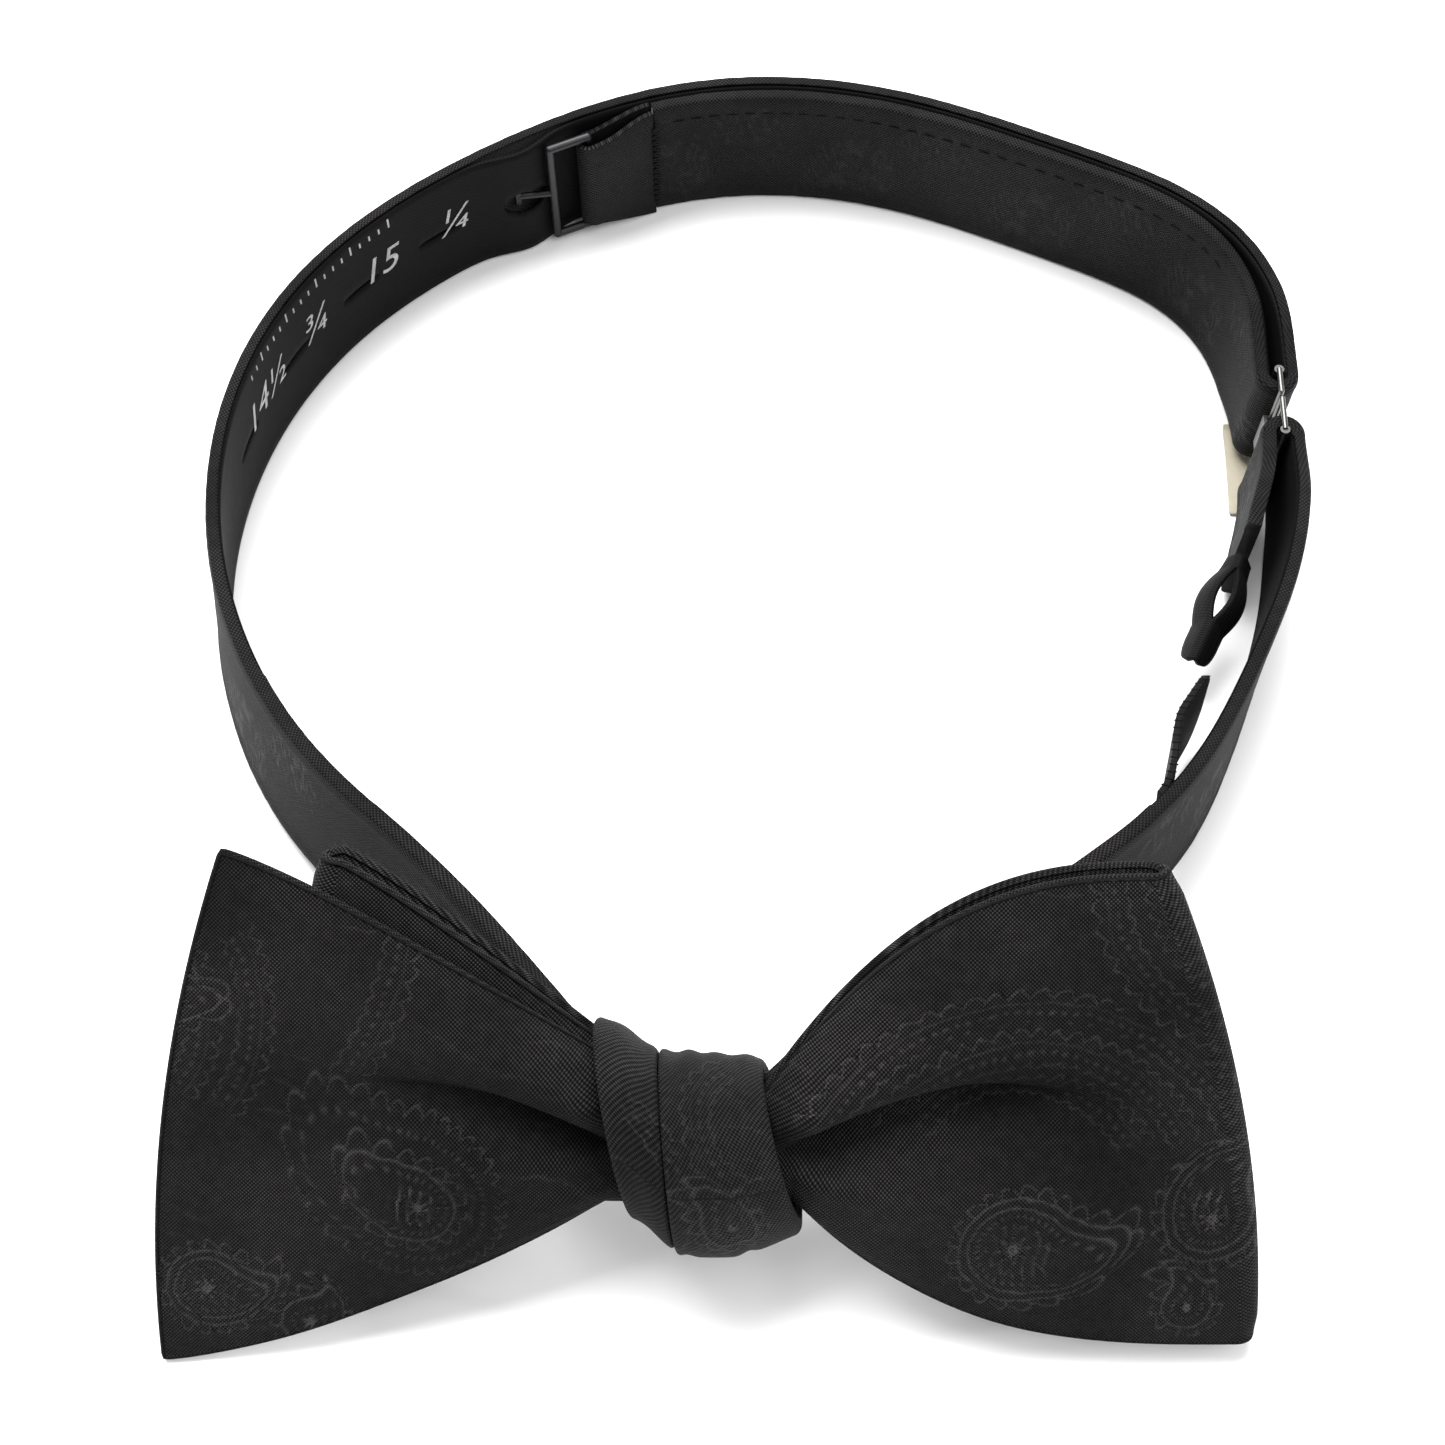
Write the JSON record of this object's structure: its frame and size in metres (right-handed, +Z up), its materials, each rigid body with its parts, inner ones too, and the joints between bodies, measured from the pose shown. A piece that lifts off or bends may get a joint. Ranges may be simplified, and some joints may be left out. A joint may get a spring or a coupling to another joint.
{
  "type": "bow tie",
  "caption": "Self-tied bow tie with paisley weave, on an adjustable slotted neckband with a T-hook and a hook-and-eye clasp.",
  "frame": {"origin": "middle of the footprint, on the surface the tie lies on", "axes": "+Z up; -Y is the side the knot and the two wings face; +X is to the right as the bow is seen from the front"},
  "size_m": [0.1347, 0.1616, 0.0415],
  "materials": {
    "jacquard": "woven silk, raised paisley figure",
    "interlining_wool": "matte felted interlining",
    "woven_tape": "smooth matte tape with white size numbers",
    "lining_cloth": "plain matte",
    "satin_tape": "plain weave",
    "label_cloth": "plain cream label cloth",
    "thread": "thread",
    "gunmetal": "dark plated wire",
    "nickel": "bright plated wire"
  },
  "bodies": {
    "bow": {"front_blade_face": "jacquard", "front_blade_interlining": "interlining_wool", "front_blade_back": "jacquard", "front_loop_shell": "jacquard", "front_loop_interlining": "interlining_wool", "front_loop_lining": "jacquard", "rear_loop_shell": "jacquard", "rear_loop_interlining": "interlining_wool", "rear_blade_face": "jacquard", "rear_blade_interlining": "interlining_wool", "rear_blade_back": "jacquard", "knot_wrap": "jacquard", "knot_under_turn": "jacquard", "knot_core": "interlining_wool", "left_strap_root": "jacquard", "right_strap_root": "jacquard"},
    "left_strap": {"left_strap_shell": "jacquard", "left_strap_interlining": "interlining_wool", "sizing_tape": "woven_tape", "return_strap_shell": "jacquard", "return_strap_interlining": "interlining_wool", "return_strap_lining": "lining_cloth", "hook_loop": "jacquard", "hook_loop_bartack": "thread", "care_label": "label_cloth"},
    "right_strap": {"right_strap_shell": "jacquard", "right_strap_interlining": "interlining_wool", "right_strap_lining": "lining_cloth", "turn_back_tab": "jacquard"},
    "t_hook_body": {"t_hook": "gunmetal"},
    "hook_body": {"clasp_hook": "nickel"},
    "eye_body": {"clasp_eye": "nickel"},
    "tail_body": {"tape_tail": "satin_tape"},
    "keeper_body": {"tail_keeper": "jacquard"}
  },
  "joints": [
    {"name": "right_strap_swing", "type": "hinge", "parent": "bow", "child": "right_strap", "pos_m": [0.04551, -0.02875, 0.00241], "axis": [0, 0, -1], "range_deg": [0, 45]},
    {"name": "left_strap_swing", "type": "hinge", "parent": "bow", "child": "left_strap", "pos_m": [-0.04636, -0.02994, 0.00263], "axis": [0, 0, 1], "range_deg": [0, 13.5]},
    {"name": "clasp_hook_pivot", "type": "hinge", "parent": "left_strap", "child": "hook_body", "pos_m": [0.06471, 0.03537, 0.01], "axis": [0, 0, -1], "range_deg": [0, 50]},
    {"name": "clasp_eye_pivot", "type": "hinge", "parent": "right_strap", "child": "eye_body", "pos_m": [0.06451, 0.02658, 0.01], "axis": [0, 0, -1], "range_deg": [0, 50]},
    {"name": "t_hook_swing", "type": "hinge", "parent": "left_strap", "child": "t_hook_body", "pos_m": [-0.02143, 0.07175, 0.01], "axis": [0, 0, 1], "range_deg": [0, 70]},
    {"name": "tape_tail_swing", "type": "hinge", "parent": "right_strap", "child": "tail_body", "pos_m": [0.05946, 0.01319, 0.01], "axis": [0, 0, -1], "range_deg": [0, 60]},
    {"name": "tail_keeper_swing", "type": "hinge", "parent": "right_strap", "child": "keeper_body", "pos_m": [0.04575, -0.0228, 0.01171], "axis": [0, 0, 1], "range_deg": [0, 50]}
  ],
  "couplings": [
    {"joint": "left_strap_swing", "follows": "right_strap_swing", "ratio": 0.3}
  ]
}
